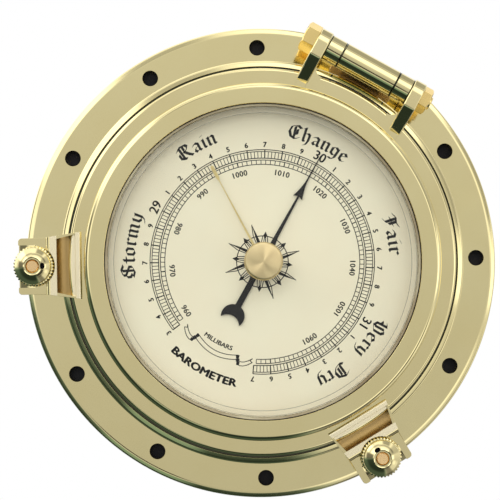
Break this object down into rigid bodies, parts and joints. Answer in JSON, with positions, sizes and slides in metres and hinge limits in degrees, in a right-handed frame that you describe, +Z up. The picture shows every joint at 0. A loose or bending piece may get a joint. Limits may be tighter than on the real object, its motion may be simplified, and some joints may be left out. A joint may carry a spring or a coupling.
{
  "type": "wall-mounted aneroid barometer",
  "caption": "Round polished brass aneroid barometer in a porthole-style wall case, with a hinged glazed door held by domed finger nuts on swing bolts, and a set hand worked by a centre knob.",
  "frame": {"origin": "centre of the wall-screw circle, in the plane of the flange's back", "axes": "+Z up the wall, the dial faces -Y, +X to the right of a person facing the dial"},
  "size_m": [0.18, 0.0362, 0.18],
  "materials": {
    "polished_brass": "mirror polished, faint swirl marks",
    "plain_brass": "turned, satin",
    "copper_alloy": "turned, slightly tarnished",
    "spring_steel": "blued and satin",
    "dial_enamel": "cream dial, printed in black and gold-brown",
    "black_paint": "semi-gloss black",
    "clear_glass": "polished plate glass with a bevelled edge",
    "brown_gasket": "matte brown",
    "black_rubber": "matte"
  },
  "bodies": {
    "case": {"base_casting": "polished_brass", "rear_cover": "plain_brass", "rear_cover_screws": "plain_brass", "door_seal": "black_rubber", "dog_bracket_left": "polished_brass", "dog_bracket_right": "polished_brass", "bracket_pin_left": "plain_brass", "bracket_pin_right": "plain_brass", "bracket_screws": "plain_brass", "hinge_block": "polished_brass", "hinge_block_screws": "plain_brass", "hinge_collars": "polished_brass", "dial_plate": "dial_enamel", "dial_screws": "plain_brass", "dial_pillars": "plain_brass", "pillar_screws": "plain_brass", "movement_plate": "plain_brass", "capsule": "plain_brass", "capsule_foot": "plain_brass", "capsule_post": "plain_brass", "mainspring": "spring_steel", "spring_bridge": "plain_brass", "spring_bridge_screws": "plain_brass", "arbor_bridge": "plain_brass", "arbor_bridge_posts": "plain_brass", "arbor_bridge_screws": "plain_brass", "rocker_standards": "plain_brass", "hairspring_stud": "plain_brass"},
    "adjuster": {"adjusting_screw": "plain_brass"},
    "door": {"door_casting": "polished_brass", "bezel_ring": "polished_brass", "glass": "clear_glass", "glass_gasket": "brown_gasket", "glass_retainer": "plain_brass", "hinge_pin": "polished_brass", "hinge_nut": "polished_brass", "set_hand_bush": "polished_brass", "bush_nut": "plain_brass"},
    "set_pointer": {"set_knob": "polished_brass", "set_spindle": "plain_brass", "set_hand": "plain_brass"},
    "dog_left": {"swing_bolt_left": "copper_alloy"},
    "dog_right": {"swing_bolt_right": "copper_alloy"},
    "loose_washer_left": {"washer_left": "polished_brass"},
    "loose_washer_right": {"washer_right": "polished_brass"},
    "finger_nut_left": {"dome_nut_left": "polished_brass"},
    "finger_nut_right": {"dome_nut_right": "polished_brass"},
    "indicator": {"arbor": "spring_steel", "hairspring_collet": "plain_brass", "hairspring": "spring_steel", "indicator_hand": "black_paint", "chain": "spring_steel"},
    "rocker": {"rocking_shaft": "spring_steel"},
    "lever": {"main_lever": "plain_brass", "link": "spring_steel"}
  },
  "joints": [
    {"name": "door_hinge", "type": "hinge", "parent": "case", "child": "door", "pos_m": [0, -0.024, 0.0814], "axis": [-1, 0, 0], "range_deg": [0, 105]},
    {"name": "set_pointer_spin", "type": "hinge", "parent": "door", "child": "set_pointer", "pos_m": [0, -0.028, 0], "axis": [0, 1, 0], "continuous": true},
    {"name": "adjuster_turn", "type": "hinge", "parent": "case", "child": "adjuster", "pos_m": [-0.049, -0.003, 0], "axis": [0, 1, 0], "range_deg": [-180, 180]},
    {"name": "indicator_spin", "type": "hinge", "parent": "case", "child": "indicator", "pos_m": [0, -0.018, 0], "axis": [0, 1, 0], "range_deg": [-156, 156], "stiffness_Nm_per_rad": 0.0003, "deforming": ["hairspring", "chain"]},
    {"name": "rocker_turn", "type": "hinge", "parent": "case", "child": "rocker", "pos_m": [0.026, -0.0062, 0], "axis": [0, 0, 1], "range_deg": [-26, 26]},
    {"name": "lever_rock", "type": "hinge", "parent": "case", "child": "lever", "pos_m": [-0.051, -0.0097, 0], "axis": [0, 0, 1], "range_deg": [-0.6, 0.6], "deforming": ["mainspring"]},
    {"name": "dog_swing_left", "type": "hinge", "parent": "case", "child": "dog_left", "pos_m": [-0.07344, -0.01, -0.0424], "axis": [0.5, 0, -0.866], "range_deg": [0, 90]},
    {"name": "washer_slide_left", "type": "slide", "parent": "dog_left", "child": "loose_washer_left", "axis": [0, -1, 0], "range_m": [0, 0.0032]},
    {"name": "nut_spin_left", "type": "hinge", "parent": "loose_washer_left", "child": "finger_nut_left", "pos_m": [-0.07344, -0.021, -0.0424], "axis": [0, -1, 0], "range_deg": [0, 1441]},
    {"name": "dog_swing_right", "type": "hinge", "parent": "case", "child": "dog_right", "pos_m": [0.07344, -0.01, -0.0424], "axis": [0.5, 0, 0.866], "range_deg": [0, 90]},
    {"name": "washer_slide_right", "type": "slide", "parent": "dog_right", "child": "loose_washer_right", "axis": [0, -1, 0], "range_m": [0, 0.0032]},
    {"name": "nut_spin_right", "type": "hinge", "parent": "loose_washer_right", "child": "finger_nut_right", "pos_m": [0.07344, -0.021, -0.0424], "axis": [0, -1, 0], "range_deg": [0, 1441]}
  ],
  "couplings": [
    {"joint": "rocker_turn", "follows": "indicator_spin", "ratio": 0.16667},
    {"joint": "lever_rock", "follows": "indicator_spin", "ratio": 0.0038462},
    {"joint": "nut_spin_left", "follows": "washer_slide_left", "rad_per_m": 7854},
    {"joint": "nut_spin_right", "follows": "washer_slide_right", "rad_per_m": 7854}
  ]
}
